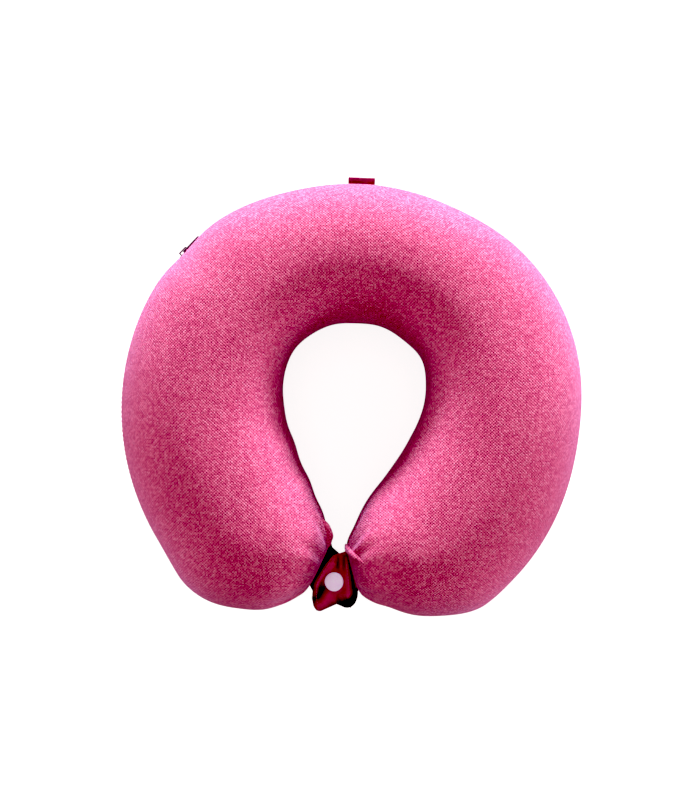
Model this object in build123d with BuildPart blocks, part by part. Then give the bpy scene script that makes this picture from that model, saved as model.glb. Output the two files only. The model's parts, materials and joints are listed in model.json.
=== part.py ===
from build123d import *
import os
from math import asin, atan2, cos, degrees, hypot, pi, radians, sin, sqrt, tan

# A U-shaped travel neck pillow, lying flat on the table: +Z up, +Y towards the back of the neck, and
# the opening towards -Y.  The origin is the middle of the footprint, on the table.
# Plan angles are bearings in degrees about the ring's centre: 0 at the back, 90 on the right arm.

# Ring and sections
outer_r = 151.0         # outer seam radius of the ring
hole_r = 47.5           # radius of the neck hole at the back
hole_shift = 12.0       # hole centre, behind the ring's centre
throat_x = 8.0          # half width of the throat at the arm tips
throat_y = 76.0         # distance of the throat in front of the ring's centre
seam_z = 50.0           # height of the seam around the outer and inner edges
crest_back = 96.0       # height of the pillow at the back of the neck
crest_side = 105.0      # height along the arms
underside_press = 0.8   # how far the underside is pressed flat on the table
top_round = 2.2         # superellipse powers of the upper and lower sections
bottom_round = 2.7
tip_out_x = 16.5        # outer corner of each arm's end face, from the middle and from the ring's centre
tip_out_y = 119.0
tip_in_x = 4.0          # inner corner of the end face
fan_start = 146.0       # bearing where the sections start to turn towards the end face
arm_end_bearing = 140.0 # where the outer edge starts to close in towards the tip
tip_close_power = 1.5
arm_bulge = 5.0         # how far each arm swells past the ring before its tip
arm_bulge_start = 129.0 # in front of the zip's end
tip_height_share = 0.62 # height of the end face as a share of the full section
tip_drop_power = 3.0
half_gap = 0.15         # each half stops this far from the middle plane of the back

# Layers, from the outside in
cover_t = 1.6
liner_t = 0.6
foam_room = 0.3

# Zip in the outer seam of the left half
zip_start = -47.5       # bearings of the slot in the seam
zip_end = -127.8
slot_play = 0.6         # between the slider and the slot's edges
tape_t = 0.5
tape_room = 0.8         # between the cover and the tape
tape_reach = 8.5        # half height of the sewn tapes
tape_overrun = 2.5      # degrees that the tape runs on past the slot
coil_t = 1.7
stop_length = 1.2       # degrees of bearing
stop_inset = 0.8

# Slider and puller
slider_from_start = 5.0 # degrees from the slot's upper end
slider_length = 8.5
slider_half = 4.0
slider_plate_t = 1.0
slider_play = 0.3
flange_t = 1.2
flange_play = 0.4
post_length = 3.0
post_half = 0.4
bridge_length = 6.4
bridge_half = 1.0
bridge_t = 0.8
bail_r = 0.5
bail_room = 0.7         # play of the bail under the bridge
puller_length = 14.0
puller_half = 2.3
puller_t = 1.0
eye_room = 1.2          # past the bridge's end
eye_play = 0.35

# Tabs and the press stud
tab_t = 2.0
root_inset = 5.5        # sewn root, from the inner corner of the end face to near the outer one
root_end = 4.4
root_gap = 2.0          # tab hinge line to the arm's end face
notch_depth = 1.5       # the tabs' inner edges dip in the middle
tab_end_front = 13.0    # free edges in front of the arm tips
tab_end_rear = 10.5
tab_corner_in = 4.5     # tab corners, inside the tips' outer corners
tab_corner_r = 4.0
snap_back = 6.5         # press stud centre, behind the tips' outer corners
snap_drop = 2.0         # stud joint below the seam height
cap_d = 12.4
cap_t = 1.6
cap_edge_r = 0.7
rivet_d = 2.0
rivet_grip = 0.7
rivet_play = 0.1
socket_d = 10.6
socket_t = 3.4
stud_base_t = 0.8
stud_gap = 0.2
knob_d = 4.0
knob_h = 1.4
knob_edge_r = 0.5
knob_play = 0.4         # the socket tilts off the knob as a tab lifts

# Hang loop at the back, just left of the middle
loop_bearing = -3.6
loop_w = 17.5
loop_reach = 6.8        # how far the loop stands out of the seam
ribbon_t = 0.8
loop_hollow = 0.8
loop_play = 0.2         # from the seam to the loop, when it folds flat against the cover

# Sizes that follow from those above
zip_room = tape_room + tape_t + slider_play + slider_plate_t + foam_room
liner_inset = cover_t + zip_room
foam_inset = liner_inset + liner_t + foam_room
window_half = slider_half + slot_play
chain_half = slider_half - flange_t - flange_play
chain_gap = post_half + slider_play
slider_bearing = zip_start - slider_from_start
bridge_room = 2 * bail_r + bail_room
eye_length = bridge_length / 2 + eye_room
eye_half = bridge_half + eye_play
snap_r = tip_out_y - snap_back
front_edge_y = tip_out_y + tab_end_front
rear_edge_y = tip_out_y + tab_end_rear
tab_corner_x = tip_out_x - tab_corner_in
loop_hinge_out = ribbon_t + loop_hollow / 2 + loop_play


def bearing(r, angle):
    """Plan x and y, from the ring's centre, of a point at radius r on a bearing."""
    return r * sin(radians(angle)), r * cos(radians(angle))


# The box runs from the front tab's free edge to the outer corner of the hang loop.
loop_corner_y = bearing(outer_r + loop_reach, loop_bearing)[1] + loop_w / 2 * sin(radians(-loop_bearing))
ring_y = (front_edge_y - loop_corner_y) / 2
ring_axis = Axis((0, ring_y, 0), (0, 0, 1))


def radial_plane(angle, z=seam_z):
    """Upright plane through the ring's axis: local x is the ring radius and local y is height."""
    out_x, out_y = bearing(1, angle)
    return Plane(origin=(0, ring_y, z), x_dir=(out_x, out_y, 0), z_dir=(out_y, -out_x, 0))


def rim_plane(r, angle):
    """Plane that faces out of the ring: local x runs along the seam, away from the back on the left."""
    out_x, out_y = bearing(1, angle)
    origin = (out_x * r, out_y * r + ring_y, seam_z)
    return Plane(origin=origin, x_dir=(-out_y, out_x, 0), z_dir=(out_x, out_y, 0))


throat_lean = asin(hole_r / hypot(throat_x, throat_y + hole_shift)) - atan2(throat_x, throat_y + hole_shift)
touch_x = hole_r * cos(throat_lean)
touch_y = hole_shift - hole_r * sin(throat_lean)
tip_in_y = throat_y + (throat_x - tip_in_x) / tan(throat_lean)
corner_r = hypot(tip_out_x, tip_out_y)
corner_bearing = 180 - degrees(atan2(tip_out_x, tip_out_y))
inner_bearing = 180 - degrees(atan2(tip_in_x, tip_in_y))
face_length = hypot(tip_out_x - tip_in_x, tip_out_y - tip_in_y)
face_x = (tip_out_x - tip_in_x) / face_length
face_y = (tip_in_y - tip_out_y) / face_length
root_length = face_length - root_inset - root_end


def hole_edge(angle):
    """Ring radius of the neck hole: a circle at the back, then its straight tangent to the throat."""
    angle = abs(angle)
    if angle < degrees(atan2(touch_x, touch_y)):
        c = hole_shift * cos(radians(angle))
        return c + sqrt(c * c + hole_r**2 - hole_shift**2)
    distance = touch_x * cos(throat_lean) - touch_y * sin(throat_lean)
    return distance / cos(radians(angle - 90) - throat_lean)


def rim_edge(angle):
    """Ring radius of the outer seam, which swells and then closes in along the arm tips."""
    share = max(0, abs(angle) - arm_end_bearing) / (corner_bearing - arm_end_bearing)
    swell = max(0, abs(angle) - arm_bulge_start) / (corner_bearing - arm_bulge_start)
    return outer_r + arm_bulge * sin(pi * swell) ** 2 - (outer_r - corner_r) * share**tip_close_power


def crest(angle):
    """Height of the top at a bearing."""
    side = (1 - cos(radians(2 * min(90, abs(angle))))) / 2
    return crest_back + (crest_side - crest_back) * side


def quarter(half_width, half_height, power):
    """Points of one quarter of a superellipse, from the side to the crest."""
    steps = [pi / 2 * i / 8 for i in range(9)]
    return [(half_width * cos(t) ** (2 / power), half_height * sin(t) ** (2 / power)) for t in steps]


def section(angle, tip_share, inset):
    """One closed cross section, on an upright plane from the neck hole to the outer seam.

    The plane is radial at its bearing.  Past the start of the fan, tip_share runs from 0 to 1 and the
    plane turns until it is the arm's end face.
    """
    in_angle = angle + tip_share * (inner_bearing - fan_start)
    out_angle = angle + tip_share * (corner_bearing - fan_start)
    in_x, in_y = bearing(hole_edge(in_angle), in_angle)
    out_x, out_y = bearing(rim_edge(out_angle), out_angle)
    width = hypot(out_x - in_x, out_y - in_y)
    share = 1 - (1 - tip_height_share) * tip_share**tip_drop_power
    wide = width / 2 - inset
    up = (crest(out_angle) - seam_z) * share - inset
    down = (seam_z + underside_press) * share - inset
    over = quarter(wide, up, top_round)
    under = quarter(wide, down, bottom_round)
    middle = ((in_x + out_x) / 2, (in_y + out_y) / 2 + ring_y, seam_z)
    across_x, across_y = (out_x - in_x) / width, (out_y - in_y) / width
    upright = Plane(origin=middle, x_dir=(across_x, across_y, 0), z_dir=(across_y, -across_x, 0))
    with BuildSketch(upright) as profile:
        with BuildLine():
            Spline(*over, tangents=[(0, 1), (-1, 0)])
            Spline(*[(-x, y) for x, y in over[::-1]], tangents=[(-1, 0), (0, -1)])
            Spline(*[(-x, -y) for x, y in under], tangents=[(0, -1), (1, 0)])
            Spline(*[(x, -y) for x, y in under[::-1]], tangents=[(1, 0), (0, 1)])
        make_face()
    return profile.sketch


def half_ring(inset):
    """The right half of the pillow, inset all over, flat underneath and cut at the middle."""
    tip_run = radians(inner_bearing - fan_start) * (corner_r + hypot(tip_in_x, tip_in_y)) / 2
    ring_bearings = [-20, 0, 20, 40, 60, 80, 100, 118, 130, 138]
    tip_shares = [0, 0.2, 0.4, 0.6, 0.8, 1 - inset / tip_run]
    with BuildPart() as half:
        for angle in ring_bearings:
            add(section(angle, 0, inset))
        for share in tip_shares:
            add(section(fan_start, share, inset))
        loft()
        split(bisect_by=Plane.YZ.offset(half_gap), keep=Keep.TOP)
        split(bisect_by=Plane.XY.offset(inset), keep=Keep.TOP)
    return half.part


def shell(outer_inset, thickness):
    """A layer of the right half between two insets."""
    outside = half_ring(outer_inset)
    inside = half_ring(outer_inset + thickness)
    with BuildPart() as layer:
        add(outside)
        add(inside, mode=Mode.SUBTRACT)
    return layer.part


def hoop(inner, outer, low, high, start, stop):
    """A bar that follows the seam on the left, given by ring radii, heights from the seam and bearings."""
    with BuildPart() as bar:
        with BuildSketch(radial_plane(start)):
            with Locations(((inner + outer) / 2, (low + high) / 2)):
                Rectangle(outer - inner, high - low)
        revolve(axis=ring_axis, revolution_arc=start - stop)
    return bar.part


def save(piece, label):
    """Label a finished piece and write its STEP file."""
    piece.label = label
    export_step(piece, f"parts/{label}.step")


os.makedirs("parts", exist_ok=True)

# Foam core, in two halves that meet at the back
with BuildPart() as foam_core_right:
    add(half_ring(foam_inset))
save(foam_core_right.part, "foam_core_right")

with BuildPart() as foam_core_left:
    add(mirror(foam_core_right.part, about=Plane.YZ, mode=Mode.PRIVATE))
save(foam_core_left.part, "foam_core_left")

# Thin inner liner around the foam
with BuildPart() as liner_right:
    add(shell(liner_inset, liner_t))
save(liner_right.part, "liner_right")

with BuildPart() as liner_left:
    add(mirror(liner_right.part, about=Plane.YZ, mode=Mode.PRIVATE))
save(liner_left.part, "liner_left")

# Outer cover: a top and a bottom panel on each half, sewn together at the seam height
cover = shell(0, cover_t)
window = hoop(outer_r - 3 * cover_t, outer_r + cover_t, -window_half, window_half, zip_start, zip_end)

with BuildPart() as cover_top_right:
    add(cover)
    split(bisect_by=Plane.XY.offset(seam_z), keep=Keep.TOP)
save(cover_top_right.part, "cover_top_right")

with BuildPart() as cover_bottom_right:
    add(cover)
    split(bisect_by=Plane.XY.offset(seam_z), keep=Keep.BOTTOM)
save(cover_bottom_right.part, "cover_bottom_right")

with BuildPart() as cover_top_left:
    add(mirror(cover_top_right.part, about=Plane.YZ, mode=Mode.PRIVATE))
    add(window, mode=Mode.SUBTRACT)
save(cover_top_left.part, "cover_top_left")

with BuildPart() as cover_bottom_left:
    add(mirror(cover_bottom_right.part, about=Plane.YZ, mode=Mode.PRIVATE))
    add(window, mode=Mode.SUBTRACT)
save(cover_bottom_left.part, "cover_bottom_left")

# Zip: two tapes behind the cover's edges, a coil on each, and their end stops
tape_out = outer_r - cover_t - tape_room
tape_in = tape_out - tape_t
coil_out = tape_out + coil_t
coil_start = zip_start - stop_inset - stop_length
coil_end = zip_end + stop_inset + stop_length
tape_ends = (zip_start + tape_overrun, zip_end - tape_overrun)

with BuildPart() as zip_tape_upper:
    add(hoop(tape_in, tape_out, chain_gap, tape_reach, *tape_ends))
save(zip_tape_upper.part, "zip_tape_upper")

with BuildPart() as zip_tape_lower:
    add(hoop(tape_in, tape_out, -tape_reach, -chain_gap, *tape_ends))
save(zip_tape_lower.part, "zip_tape_lower")

with BuildPart() as zip_coil_upper:
    add(hoop(tape_out, coil_out, chain_gap, chain_half, coil_start, coil_end))
save(zip_coil_upper.part, "zip_coil_upper")

with BuildPart() as zip_coil_lower:
    add(hoop(tape_out, coil_out, -chain_half, -chain_gap, coil_start, coil_end))
save(zip_coil_lower.part, "zip_coil_lower")

with BuildPart() as zip_top_stops:
    add(hoop(tape_out, coil_out, chain_gap, chain_half, zip_start - stop_inset, coil_start))
    add(hoop(tape_out, coil_out, -chain_half, -chain_gap, zip_start - stop_inset, coil_start))
save(zip_top_stops.part, "zip_top_stops")

with BuildPart() as zip_bottom_stop:
    add(hoop(tape_out, coil_out, -chain_half, chain_half, coil_end, zip_end + stop_inset))
save(zip_bottom_stop.part, "zip_bottom_stop")

# Zip slider: a plate over the coils, a plate behind the tapes, the post between them and the bridge
face_r = coil_out + slider_play          # inside of the front plate
back_r = tape_in - slider_play           # inside of the back plate
bail_ring_r = face_r + slider_plate_t + slider_play + bail_r

with BuildPart() as zip_slider:
    with BuildSketch(rim_plane(face_r, slider_bearing)):
        RectangleRounded(slider_length, 2 * slider_half, slider_plate_t)
    extrude(amount=slider_plate_t)
    with BuildSketch(rim_plane(back_r, slider_bearing)):
        RectangleRounded(slider_length, 2 * slider_half, slider_plate_t)
    extrude(amount=-slider_plate_t)
    with BuildSketch(rim_plane(back_r, slider_bearing)):
        Rectangle(post_length, 2 * post_half)
    extrude(amount=face_r - back_r)
    with BuildSketch(rim_plane(face_r, slider_bearing)):
        with GridLocations(0, 2 * slider_half - flange_t, 1, 2):
            Rectangle(slider_length - 2 * slider_plate_t, flange_t)
    extrude(amount=tape_out + slider_play - face_r)
    with BuildSketch(rim_plane(face_r + slider_plate_t, slider_bearing)):
        Rectangle(bridge_length, 2 * bridge_half)
    extrude(amount=bridge_room + bridge_t)
    with BuildSketch(rim_plane(face_r + slider_plate_t, slider_bearing)):
        Rectangle(bridge_length - 2 * bridge_t, 3 * bridge_half)
    extrude(amount=bridge_room, mode=Mode.SUBTRACT)
save(zip_slider.part, "zip_slider")

# Puller: a flat tag with an eye, whose round bail passes under the slider's bridge
bail_x, bail_y = bearing(bail_ring_r, slider_bearing)

with BuildPart() as zip_puller:
    with BuildSketch(rim_plane(bail_ring_r - puller_t / 2, slider_bearing)):
        with Locations((-puller_length / 2, 0)):
            Rectangle(puller_length, 2 * puller_half)
        fillet(vertices().group_by(Axis.X)[0], radius=puller_half * 0.9)
        with Locations((-eye_length / 2, 0)):
            Rectangle(eye_length, 2 * eye_half, mode=Mode.SUBTRACT)
    extrude(amount=puller_t)
    with BuildSketch(Plane.XY.offset(seam_z - puller_half)):
        with Locations((bail_x, bail_y + ring_y)):
            Circle(bail_r)
    extrude(amount=2 * puller_half)
save(zip_puller.part, "zip_puller")

# Tabs: each hinges on a line beside its arm's end face and laps over the other in the gap
front_tab_low = seam_z - snap_drop + socket_t
rear_tab_low = seam_z - snap_drop - stud_gap - stud_base_t - tab_t


def root_point(distance, side):
    """Plan x and y on a tab's hinge line, by distance from the end face's inner corner.

    Side is 1 for the right arm and -1 for the left.
    """
    x = tip_in_x + distance * face_x + root_gap * face_y
    y = -tip_in_y + distance * face_y - root_gap * face_x
    return side * x, y + ring_y


def tab(side, low, free_edge):
    """A tab that is sewn to the arm on one side, with a hole for the rivet of its cap."""
    free_y = ring_y - free_edge
    root_x, root_y = root_point(root_inset, side)
    outline = [
        (root_x, root_y),
        (0, root_y - notch_depth),
        (-root_x, root_y - notch_depth),
        root_point(root_inset + root_length, -side),
        (-side * tab_corner_x, free_y),
        (side * tab_corner_x / 3, free_y),
        root_point(root_inset + root_length, side),
    ]
    with BuildPart() as strap:
        with BuildSketch(Plane.XY.offset(low)):
            with BuildLine():
                Polyline(*outline, close=True)
            make_face()
            fillet(vertices().group_by(Axis.Y)[0], radius=tab_corner_r)
            with Locations((0, ring_y - snap_r)):
                Circle(rivet_d / 2 + rivet_play, mode=Mode.SUBTRACT)
        extrude(amount=tab_t)
    return strap.part


def snap_plane(z, facing=1):
    """Level plane through the press stud's centre, facing up or down."""
    return Plane(origin=(0, ring_y - snap_r, z), x_dir=(1, 0, 0), z_dir=(0, 0, facing))


def snap_cap(z, facing):
    """A cap with a rounded rim, and the rivet that holds it to the fitting behind the tab."""
    with BuildPart() as cap:
        with BuildSketch(snap_plane(z, facing)):
            Circle(cap_d / 2)
        extrude(amount=cap_t)
        fillet(cap.edges().group_by(Axis.Z)[-1 if facing > 0 else 0], radius=cap_edge_r)
        with BuildSketch(snap_plane(z, facing)):
            Circle(rivet_d / 2)
        extrude(amount=-tab_t - rivet_grip)
    return cap.part


with BuildPart() as tab_front:
    add(tab(1, front_tab_low, front_edge_y))
save(tab_front.part, "tab_front")

with BuildPart() as tab_rear:
    add(tab(-1, rear_tab_low, rear_edge_y))
save(tab_rear.part, "tab_rear")

with BuildPart() as snap_cap_front:
    add(snap_cap(front_tab_low + tab_t, 1))
save(snap_cap_front.part, "snap_cap_front")

with BuildPart() as snap_cap_rear:
    add(snap_cap(rear_tab_low, -1))
save(snap_cap_rear.part, "snap_cap_rear")

# Socket under the front tab, and the stud on the rear tab that clicks into it
with BuildPart() as snap_socket:
    with BuildSketch(snap_plane(front_tab_low, -1)):
        Circle(socket_d / 2)
    extrude(amount=socket_t)
    with BuildSketch(snap_plane(front_tab_low, -1)):
        Circle(rivet_d / 2 + rivet_play)
    extrude(amount=rivet_grip + rivet_play, mode=Mode.SUBTRACT)
    with BuildSketch(snap_plane(front_tab_low - socket_t)):
        Circle(knob_d / 2 + knob_play)
    extrude(amount=knob_h - stud_gap + knob_play, mode=Mode.SUBTRACT)
save(snap_socket.part, "snap_socket")

with BuildPart() as snap_stud:
    with BuildSketch(snap_plane(rear_tab_low + tab_t)):
        Circle(socket_d / 2)
    extrude(amount=stud_base_t)
    with BuildSketch(snap_plane(rear_tab_low + tab_t + stud_base_t)):
        Circle(knob_d / 2)
    extrude(amount=knob_h)
    fillet(snap_stud.edges().group_by(Axis.Z)[-1], radius=knob_edge_r)
    with BuildSketch(snap_plane(rear_tab_low + tab_t)):
        Circle(rivet_d / 2 + rivet_play)
    extrude(amount=rivet_grip + rivet_play, mode=Mode.SUBTRACT)
save(snap_stud.part, "snap_stud")

# Hang loop: a ribbon folded back on itself, standing out of the seam
with BuildPart() as hang_loop:
    half_thick = ribbon_t + loop_hollow / 2
    start = outer_r + loop_hinge_out
    end = outer_r + loop_reach
    with BuildSketch(radial_plane(loop_bearing)):
        with Locations(((start + end) / 2, 0)):
            Rectangle(end - start, 2 * half_thick)
        fillet(vertices().group_by(Axis.Y)[-1], radius=half_thick * 0.95)
        with Locations(((start + end - ribbon_t) / 2, 0)):
            Rectangle(end - start - ribbon_t, loop_hollow, mode=Mode.SUBTRACT)
    extrude(amount=loop_w / 2, both=True)
save(hang_loop.part, "hang_loop")
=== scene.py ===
import json
import math

import bpy
import numpy as np
from mathutils import Matrix, Vector


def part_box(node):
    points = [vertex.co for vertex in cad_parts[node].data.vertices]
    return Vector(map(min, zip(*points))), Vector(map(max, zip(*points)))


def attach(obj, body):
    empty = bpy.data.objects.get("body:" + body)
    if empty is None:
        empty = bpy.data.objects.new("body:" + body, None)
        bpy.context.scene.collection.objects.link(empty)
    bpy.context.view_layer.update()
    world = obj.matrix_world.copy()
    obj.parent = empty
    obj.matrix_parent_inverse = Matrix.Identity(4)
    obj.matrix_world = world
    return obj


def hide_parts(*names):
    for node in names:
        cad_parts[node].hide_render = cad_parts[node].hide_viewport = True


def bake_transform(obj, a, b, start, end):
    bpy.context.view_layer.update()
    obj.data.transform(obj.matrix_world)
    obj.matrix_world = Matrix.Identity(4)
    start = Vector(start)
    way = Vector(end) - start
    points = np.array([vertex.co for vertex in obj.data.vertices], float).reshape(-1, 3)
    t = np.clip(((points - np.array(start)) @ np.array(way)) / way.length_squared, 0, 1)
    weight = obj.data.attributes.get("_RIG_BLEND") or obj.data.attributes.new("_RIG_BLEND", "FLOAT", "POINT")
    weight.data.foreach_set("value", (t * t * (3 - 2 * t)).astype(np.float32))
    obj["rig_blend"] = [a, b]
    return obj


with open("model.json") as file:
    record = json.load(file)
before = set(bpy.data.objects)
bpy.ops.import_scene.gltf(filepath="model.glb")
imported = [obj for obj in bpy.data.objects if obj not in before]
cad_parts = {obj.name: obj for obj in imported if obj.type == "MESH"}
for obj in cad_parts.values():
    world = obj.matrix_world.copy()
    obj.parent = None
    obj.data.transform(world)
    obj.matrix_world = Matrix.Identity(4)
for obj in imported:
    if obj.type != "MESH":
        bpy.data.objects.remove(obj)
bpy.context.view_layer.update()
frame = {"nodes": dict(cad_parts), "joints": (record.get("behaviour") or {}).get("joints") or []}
joints = {joint["name"]: joint for joint in frame["joints"]}
scene = bpy.context.scene
MM = 0.001

# ---------------------------------------------------------------- sizes, in mm
CENTRE = np.array(joints["zip_run"]["pos_m"]) / MM  # the ring's centre, at the seam's height
RING_Y, SEAM_Z = CENTRE[1], CENTRE[2]
OUTER_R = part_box("cover_top_right")[1].x / MM
CREST_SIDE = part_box("cover_top_right")[1].z / MM
CREST_BACK = CREST_SIDE - 9.0
HOLE_R, HOLE_SHIFT = 47.5, 12.0  # the neck hole's round back, and its centre behind the ring's centre
THROAT_X, THROAT_Y = 8.0, 76.0  # half width of the throat, and how far it is in front of the ring's centre
TIP_OUT = (16.5, 119.0)  # outer corner of each arm's end face
TIP_IN_X = 4.0  # inner corner of the end face
FAN = 146.0  # bearing where the sections start to turn towards the end face
ARM_END, CLOSE_POWER = 140.0, 1.5  # bearing where the outer edge starts to close in towards the tip
BULGE, BULGE_START = 5.0, 129.0  # how far each arm swells before its tip, and from which bearing
TIP_SHARE, TIP_POWER = 0.62, 3.0  # height of the end face, as a share of the full section
NOSE = 0.7  # share of the fan where the section starts to close
WIDE_POWER, HIGH_POWER = 7, 2.8  # how roundly it closes, in width and in height
PRESS = 0.8  # how far the underside is pressed flat
TOP_POWER, BOTTOM_POWER = 2.2, 2.7  # superellipse powers of the upper and lower sections
SLOT = (47.5, 127.8)  # bearings of the zip's slot, on the left
SLOT_HALF = 4.6
COVER_T = 1.2
FOAM_INSET, LINER_OUT, LINER_IN = 5.4, 4.5, 5.1
FLOOR_GAP = 0.1  # the cover's lowest point
PANEL_ROWS = 96  # points across a panel of the cover
GRAIN = math.radians(6.0)  # turn of the knit's rows

# where the soft pillow leaves the even ring: mm inwards, bearing, width in degrees
LEAN = [(1.3, 92, 16), (6.5, 151, 10), (3.0, 163, 6), (-2.2, -150, 14), (-1.6, -168, 8), (-2.6, -162, 5)]
# where its inner edge leaves the even neck hole: mm back, bearing, width in degrees
SET_BACK = [(2.4, 47, 13), (1.2, -48, 14), (-1.7, -3, 13), (1.2, -109, 13), (2.8, -163, 7), (1.7, -142, 15)]

THROAT_LEAN = math.asin(HOLE_R / math.hypot(THROAT_X, THROAT_Y + HOLE_SHIFT)) - math.atan2(
    THROAT_X, THROAT_Y + HOLE_SHIFT
)
TOUCH_X = HOLE_R * math.cos(THROAT_LEAN)
TOUCH_Y = HOLE_SHIFT - HOLE_R * math.sin(THROAT_LEAN)
TIP_IN_Y = THROAT_Y + (THROAT_X - TIP_IN_X) / math.tan(THROAT_LEAN)
CORNER_R = math.hypot(*TIP_OUT)
CORNER_B = 180 - math.degrees(math.atan2(*TIP_OUT))
INNER_B = 180 - math.degrees(math.atan2(TIP_IN_X, TIP_IN_Y))
FACE = np.array([TIP_OUT[0] - TIP_IN_X, -(TIP_OUT[1] - TIP_IN_Y)])
FACE = FACE / np.linalg.norm(FACE)  # along the right arm's end face, away from the throat


# ---------------------------------------------------------------- helpers
def smooth(x, a, b):
    """0 up to a, 1 from b on, and a soft step between."""
    t = np.clip((np.asarray(x, float) - a) / (b - a), 0, 1)
    return t * t * (3 - 2 * t)


def bump_at(x, middle, width):
    """1 at the middle, with a soft fall to both sides."""
    return np.exp(-(((np.asarray(x, float) - middle) / width) ** 2))


def polar(r, bearing):
    """Plan point in mm, in the row frame."""
    a = np.radians(bearing)
    return np.stack([r * np.sin(a), r * np.cos(a) + RING_Y], -1)


def ring_xy(x, y):
    """A plan point given from the ring's centre, in the row frame."""
    return np.array([x, y + RING_Y])


def hole_edge(angle):
    """Radius of the even neck hole: round at the back, straight along the throat."""
    angle = np.abs(angle)
    c = HOLE_SHIFT * np.cos(np.radians(angle))
    circle = c + np.sqrt(c * c + HOLE_R**2 - HOLE_SHIFT**2)
    away = TOUCH_X * math.cos(THROAT_LEAN) - TOUCH_Y * math.sin(THROAT_LEAN)
    straight = away / np.cos(np.radians(angle - 90) - THROAT_LEAN)
    return np.where(angle < math.degrees(math.atan2(TOUCH_X, TOUCH_Y)), circle, straight)


def rim_edge(angle):
    """Radius of the even outer edge, with its swell and its way in to the tip's corner."""
    angle = np.abs(angle)
    share = np.clip(angle - ARM_END, 0, None) / (CORNER_B - ARM_END)
    swell = np.clip(angle - BULGE_START, 0, None) / (CORNER_B - BULGE_START)
    return OUTER_R + BULGE * np.sin(np.pi * swell) ** 2 - (OUTER_R - CORNER_R) * share**CLOSE_POWER


def lean_of(u):
    """How far the outer edge stands inside the even ring, most of all near the right arm's tip."""
    back = 1.7 * (1 - smooth(np.abs(u), 18, 42))
    return back + sum(far * bump_at(u, middle, width) for far, middle, width in LEAN)


def throat_of(u):
    """How far the inner edge stands back from the even neck hole."""
    tips = 2.6 * bump_at(np.abs(u), 175, 6)
    return tips + sum(far * bump_at(u, middle, width) for far, middle, width in SET_BACK)


def crest(angle):
    """Height of the top: lower at the back of the neck."""
    side = (1 - np.cos(np.radians(2 * np.minimum(90, np.abs(angle))))) / 2
    return CREST_BACK + (CREST_SIDE - CREST_BACK) * side


def new_mesh(name, verts, faces, material, attributes=None):
    """An object from vertices in mm."""
    mesh = bpy.data.meshes.new(name)
    mesh.from_pydata((np.asarray(verts, float) * MM).tolist(), [], [list(map(int, f)) for f in faces])
    mesh.update()
    for key, values in (attributes or {}).items():
        layer = mesh.attributes.new(key, "FLOAT_VECTOR", "POINT")
        layer.data.foreach_set("vector", np.asarray(values, np.float32).ravel())
    mesh.shade_smooth()
    obj = bpy.data.objects.new(name, mesh)
    scene.collection.objects.link(obj)
    obj.data.materials.append(material)
    return obj


def grid_normals(p):
    n = np.cross(np.gradient(p, axis=0), np.gradient(p, axis=1))
    length = np.linalg.norm(n, axis=-1, keepdims=True)
    return n / np.maximum(length, 1e-9)


def quads(nu, nv, base=0, flip=False, wrap=False):
    """Faces of a grid of nu by nv points. wrap joins each row's ends."""
    i, j = np.meshgrid(np.arange(nu - 1), np.arange(nv if wrap else nv - 1), indexing="ij")
    i, j = i.ravel(), j.ravel()
    k = (j + 1) % nv
    f = np.stack([i * nv + j, (i + 1) * nv + j, (i + 1) * nv + k, i * nv + k], -1) + base
    return f[:, ::-1] if flip else f


def thick_grid(p, thickness, outward):
    """A closed sheet from a grid of points: the grid, the grid set in by the thickness, and its edges."""
    nu, nv = p.shape[:2]
    n = grid_normals(p)
    sign = np.sign((n * outward).sum())
    n = n * sign
    inner = p - n * thickness
    verts = np.concatenate([p.reshape(-1, 3), inner.reshape(-1, 3)])
    flip = sign < 0
    outer_faces = quads(nu, nv, 0, flip)
    inner_faces = quads(nu, nv, nu * nv, not flip)
    # the edge's points, once around
    loop = (
        list(range(nv))
        + [i * nv + nv - 1 for i in range(1, nu)]
        + [(nu - 1) * nv + j for j in range(nv - 2, -1, -1)]
        + [i * nv for i in range(nu - 2, 0, -1)]
    )
    loop = np.array(loop)
    after = np.roll(loop, -1)
    rim = np.stack([loop, after, after + nu * nv, loop + nu * nv], -1)
    if flip:
        rim = rim[:, ::-1]
    return verts, np.concatenate([outer_faces, inner_faces, rim])


def both_sides(weave):
    """Cloth coordinates in mm, for both sides of a sheet from thick_grid."""
    return {"weave": np.concatenate([weave.reshape(-1, 3)] * 2) * MM}


def distances(line):
    """How far along a line each of its points is."""
    return np.concatenate([[0], np.cumsum(np.linalg.norm(np.diff(line, axis=0), axis=1))])


def point_at(line, run, distance):
    return np.array([np.interp(distance, run, line[:, k]) for k in range(3)])


def sweep(path, radii, sides, up=(0, 0, 1)):
    """A closed tube along a path: verts and faces. radii may be one value per point."""
    path = np.asarray(path, float)
    radii = np.broadcast_to(np.asarray(radii, float), (len(path),))
    tangent = np.gradient(path, axis=0)
    tangent /= np.linalg.norm(tangent, axis=1, keepdims=True)
    side = np.cross(tangent, np.array(up, float))
    side /= np.maximum(np.linalg.norm(side, axis=1, keepdims=True), 1e-9)
    over = np.cross(side, tangent)
    a = np.linspace(0, 2 * np.pi, sides, endpoint=False)[None, :, None]
    ring = np.cos(a) * side[:, None] + np.sin(a) * over[:, None]
    verts = (path[:, None] + radii[:, None, None] * ring).reshape(-1, 3)
    faces = quads(len(path), sides, wrap=True).tolist()
    faces.append(list(range(sides)))
    last = (len(path) - 1) * sides
    faces.append([last + k for k in range(sides - 1, -1, -1)])
    return verts, faces


def gather(parts):
    """Several (verts, faces) as one."""
    verts, faces, base = [], [], 0
    for v, f in parts:
        verts.append(np.asarray(v, float))
        faces.extend([[int(k) + base for k in face] for face in f])
        base += len(v)
    return np.concatenate(verts), faces


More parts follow.
